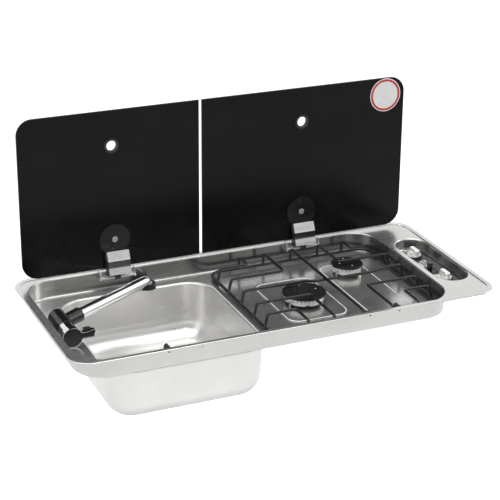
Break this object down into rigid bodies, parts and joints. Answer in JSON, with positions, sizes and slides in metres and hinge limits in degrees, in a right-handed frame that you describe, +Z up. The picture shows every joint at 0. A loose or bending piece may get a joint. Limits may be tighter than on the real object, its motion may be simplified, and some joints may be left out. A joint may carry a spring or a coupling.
{
  "type": "rv sink with glass lid",
  "caption": "Recessed stainless sink and hob unit with a fold-down tap, a wire pan support, push-and-turn knobs and black glass lids hinged along the back.",
  "frame": {"origin": "centre of the flange's outline at the worktop's top face", "axes": "+X to the user's right, +Y to the back, where the lids are hinged, +Z up out of the worktop"},
  "size_m": [0.9, 0.41, 0.5495],
  "materials": {
    "stainless": "satin",
    "chrome": "polished",
    "black_glass": "gloss",
    "black_plastic": "satin",
    "black_enamel": "gloss enamel",
    "burner_alloy": "satin",
    "brass": "machined",
    "plain_steel": "plain",
    "black_rubber": "matt",
    "white_ceramic": "glazed",
    "sign_print": "printed disc"
  },
  "bodies": {
    "base": {"big_burner_cap": "black_enamel", "big_burner_crown": "burner_alloy", "big_burner_cup": "black_enamel", "big_burner_pipe": "burner_alloy", "control_plate": "chrome", "electrodes": "white_ceramic", "flange_seal": "black_rubber", "front_valve": "brass", "gas_rail": "burner_alloy", "hinge_brackets": "chrome", "hinge_pins": "plain_steel", "igniter_module": "black_plastic", "injectors": "brass", "knob_bezels": "black_plastic", "lid_bumpers": "black_rubber", "pan_support_bars": "black_enamel", "pan_support_feet": "black_rubber", "pan_support_frame": "black_enamel", "rear_valve": "brass", "sink_bowl": "stainless", "sink_tray": "stainless", "small_burner_cap": "black_enamel", "small_burner_crown": "burner_alloy", "small_burner_cup": "black_enamel", "small_burner_pipe": "burner_alloy", "tap_base": "black_plastic", "tap_nut": "brass", "tap_ring": "chrome", "tap_side_block": "black_plastic", "tap_side_plate": "chrome", "tap_tail": "brass", "thermocouples": "plain_steel", "waste_body": "black_plastic", "waste_seal": "black_rubber", "waste_strainer": "stainless"},
    "left_lid_body": {"left_lid": "black_glass", "left_grommet": "black_rubber", "left_hinge_leaf": "black_plastic", "left_hinge_cover": "chrome", "left_back_disc": "black_plastic", "left_lid_screw": "plain_steel"},
    "right_lid_body": {"right_lid": "black_glass", "right_grommet": "black_rubber", "right_hinge_leaf": "black_plastic", "right_hinge_cover": "chrome", "right_back_disc": "black_plastic", "right_lid_screw": "plain_steel", "lid_sign": "sign_print"},
    "front_push_body": {"front_valve_collar": "brass"},
    "front_knob_body": {"front_knob": "chrome", "front_spindle": "plain_steel"},
    "rear_push_body": {"rear_valve_collar": "brass"},
    "rear_knob_body": {"rear_knob": "chrome", "rear_spindle": "plain_steel"},
    "igniter_body": {"igniter_button": "black_plastic"},
    "spout_body": {"tap_elbow": "black_plastic", "tap_spout": "chrome", "tap_nozzle": "black_plastic"},
    "lever_body": {"tap_lever": "chrome", "tap_lever_face": "black_plastic"}
  },
  "joints": [
    {"name": "left_lid_hinge", "type": "hinge", "parent": "base", "child": "left_lid_body", "pos_m": [-0.2324, 0.1688, -0.0089], "axis": [1, 0, 0], "range_deg": [0, 91.5]},
    {"name": "right_lid_hinge", "type": "hinge", "parent": "base", "child": "right_lid_body", "pos_m": [0.1886, 0.1688, -0.0089], "axis": [1, 0, 0], "range_deg": [0, 91.5]},
    {"name": "spout_lift", "type": "hinge", "parent": "base", "child": "spout_body", "pos_m": [-0.401, 0.012, -0.018], "axis": [0, 1, 0], "range_deg": [-70, 0]},
    {"name": "tap_lever_turn", "type": "hinge", "parent": "base", "child": "lever_body", "pos_m": [-0.401, -0.045, -0.018], "axis": [0, 1, 0], "range_deg": [-60, 0]},
    {"name": "front_knob_push", "type": "slide", "parent": "base", "child": "front_push_body", "axis": [0, 0, 1], "range_m": [-0.003, 0], "stiffness_N_per_m": 600, "springref_m": 0.003},
    {"name": "front_knob_turn", "type": "hinge", "parent": "front_push_body", "child": "front_knob_body", "pos_m": [0.4037, -0.064, -0.02], "axis": [0, 0, 1], "range_deg": [-200, 0]},
    {"name": "rear_knob_push", "type": "slide", "parent": "base", "child": "rear_push_body", "axis": [0, 0, 1], "range_m": [-0.003, 0], "stiffness_N_per_m": 600, "springref_m": 0.003},
    {"name": "rear_knob_turn", "type": "hinge", "parent": "rear_push_body", "child": "rear_knob_body", "pos_m": [0.4037, 0.064, -0.02], "axis": [0, 0, 1], "range_deg": [-200, 0]},
    {"name": "igniter_push", "type": "slide", "parent": "base", "child": "igniter_body", "axis": [0, 0, 1], "range_m": [-0.003, 0], "stiffness_N_per_m": 500, "springref_m": 0.003}
  ]
}
